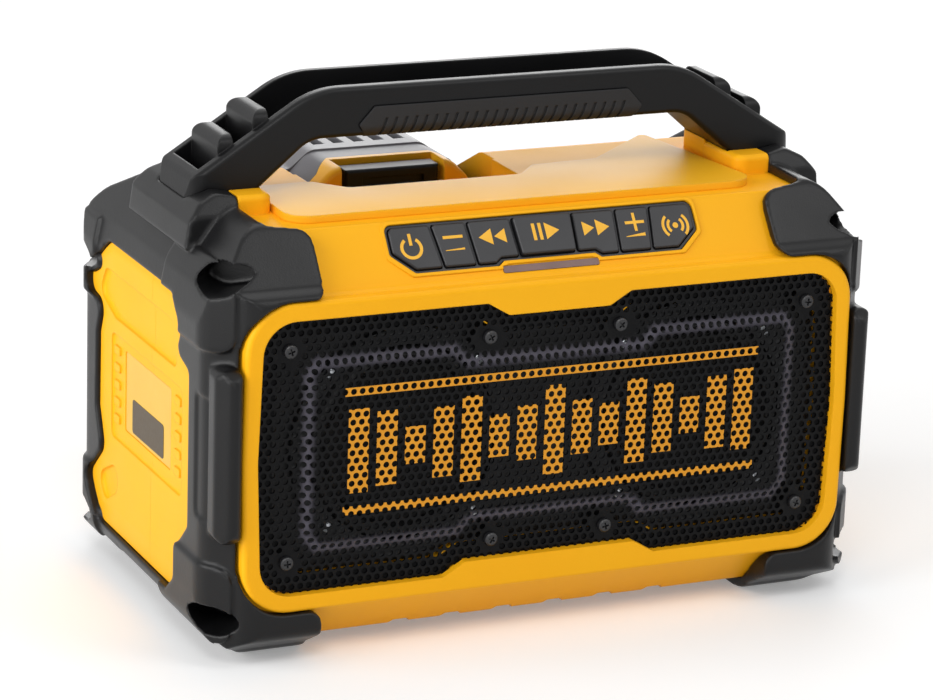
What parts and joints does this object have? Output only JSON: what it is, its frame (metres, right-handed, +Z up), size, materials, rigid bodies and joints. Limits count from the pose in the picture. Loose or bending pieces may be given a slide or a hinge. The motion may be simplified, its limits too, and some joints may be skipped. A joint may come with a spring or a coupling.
{
  "type": "bluetooth speaker",
  "caption": "Rugged jobsite wireless speaker: rubber-ended case, perforated grille, sloped key panel, fixed carrying handle and slide-in battery pack.",
  "frame": {"origin": "on the table, under the middle of the case", "axes": "+X along the case to the right as seen from the grille, +Y from the grille to the back, +Z up"},
  "size_m": [0.265, 0.1607, 0.198],
  "materials": {
    "case_plastic": "satin moulded",
    "bumper_rubber": "fine grained",
    "handle_plastic": "satin moulded",
    "grip_rubber": "matt",
    "black_screw": "black coated",
    "plated_screw": "zinc plated",
    "grille_steel": "satin black coat",
    "inner_plastic": "moulded",
    "keypad_rubber": "satin",
    "key_rubber": "satin",
    "circuit_board": "solder mask",
    "switch_plastic": "moulded",
    "lens_plastic": "smoked, frosted",
    "battery_yellow_plastic": "satin moulded",
    "battery_grey_plastic": "satin moulded",
    "cell_can": "drawn can",
    "contact_brass": "stamped",
    "heat_sink_aluminium": "extruded",
    "driver_frame_steel": "black coat",
    "magnet_ferrite": "sintered",
    "driver_rubber": "moulded",
    "driver_cone": "pressed",
    "cover_rubber": "matt"
  },
  "bodies": {
    "case": {"front_housing": "case_plastic", "rear_housing": "case_plastic", "top_tray": "case_plastic", "left_bumper": "bumper_rubber", "right_bumper": "bumper_rubber", "handle": "handle_plastic", "handle_grip": "grip_rubber", "handle_bolts": "black_screw", "grille": "grille_steel", "grille_screws": "black_screw", "baffle": "inner_plastic", "baffle_screws": "plated_screw", "driver_screws": "plated_screw", "keypad_frame": "keypad_rubber", "key_board": "circuit_board", "key_switches": "switch_plastic", "status_lens": "lens_plastic", "terminal_block": "inner_plastic", "terminal_blades": "contact_brass", "main_board": "circuit_board", "board_screws": "plated_screw", "amplifier_heat_sink": "heat_sink_aluminium", "board_capacitors": "cell_can", "radio_module": "cell_can", "housing_screws": "plated_screw", "port_cover_pin": "plated_screw", "socket_panel": "inner_plastic", "audio_socket": "inner_plastic", "power_socket": "inner_plastic", "left_driver_basket": "driver_frame_steel", "left_driver_magnet": "magnet_ferrite", "left_driver_surround": "driver_rubber", "left_driver_cone": "driver_cone", "left_driver_dust_cap": "driver_cone", "right_driver_basket": "driver_frame_steel", "right_driver_magnet": "magnet_ferrite", "right_driver_surround": "driver_rubber", "right_driver_cone": "driver_cone", "right_driver_dust_cap": "driver_cone"},
    "battery_pack": {"battery_front_shell": "battery_yellow_plastic", "battery_rear_shell": "battery_grey_plastic", "battery_screws": "black_screw", "battery_cells": "cell_can", "battery_contacts": "contact_brass"},
    "battery_release": {"battery_button": "battery_grey_plastic"},
    "port_flap": {"port_cover": "cover_rubber"},
    "power_key": {"power_key": "key_rubber"},
    "volume_down_key": {"volume_down_key": "key_rubber"},
    "rewind_key": {"rewind_key": "key_rubber"},
    "play_key": {"play_key": "key_rubber"},
    "forward_key": {"forward_key": "key_rubber"},
    "volume_up_key": {"volume_up_key": "key_rubber"},
    "wireless_key": {"wireless_key": "key_rubber"}
  },
  "joints": [
    {"name": "power_press", "type": "slide", "parent": "case", "child": "power_key", "axis": [0, 0.798, -0.6027], "range_m": [0, 0.001], "stiffness_N_per_m": 1500, "springref_m": -0.0005},
    {"name": "volume_down_press", "type": "slide", "parent": "case", "child": "volume_down_key", "axis": [0, 0.798, -0.6027], "range_m": [0, 0.001], "stiffness_N_per_m": 1500, "springref_m": -0.0005},
    {"name": "rewind_press", "type": "slide", "parent": "case", "child": "rewind_key", "axis": [0, 0.798, -0.6027], "range_m": [0, 0.001], "stiffness_N_per_m": 1500, "springref_m": -0.0005},
    {"name": "play_press", "type": "slide", "parent": "case", "child": "play_key", "axis": [0, 0.798, -0.6027], "range_m": [0, 0.001], "stiffness_N_per_m": 1500, "springref_m": -0.0005},
    {"name": "forward_press", "type": "slide", "parent": "case", "child": "forward_key", "axis": [0, 0.798, -0.6027], "range_m": [0, 0.001], "stiffness_N_per_m": 1500, "springref_m": -0.0005},
    {"name": "volume_up_press", "type": "slide", "parent": "case", "child": "volume_up_key", "axis": [0, 0.798, -0.6027], "range_m": [0, 0.001], "stiffness_N_per_m": 1500, "springref_m": -0.0005},
    {"name": "wireless_press", "type": "slide", "parent": "case", "child": "wireless_key", "axis": [0, 0.798, -0.6027], "range_m": [0, 0.001], "stiffness_N_per_m": 1500, "springref_m": -0.0005},
    {"name": "battery_slide", "type": "slide", "parent": "case", "child": "battery_pack", "axis": [0, 0, 1], "range_m": [0, 0.12]},
    {"name": "release_press", "type": "slide", "parent": "battery_pack", "child": "battery_release", "axis": [0, 1, 0], "range_m": [0, 0.003], "stiffness_N_per_m": 900, "springref_m": -0.001},
    {"name": "port_flap_hinge", "type": "hinge", "parent": "case", "child": "port_flap", "pos_m": [0.072, 0.075, 0.0466], "axis": [-1, 0, 0], "range_deg": [0, 90]}
  ]
}
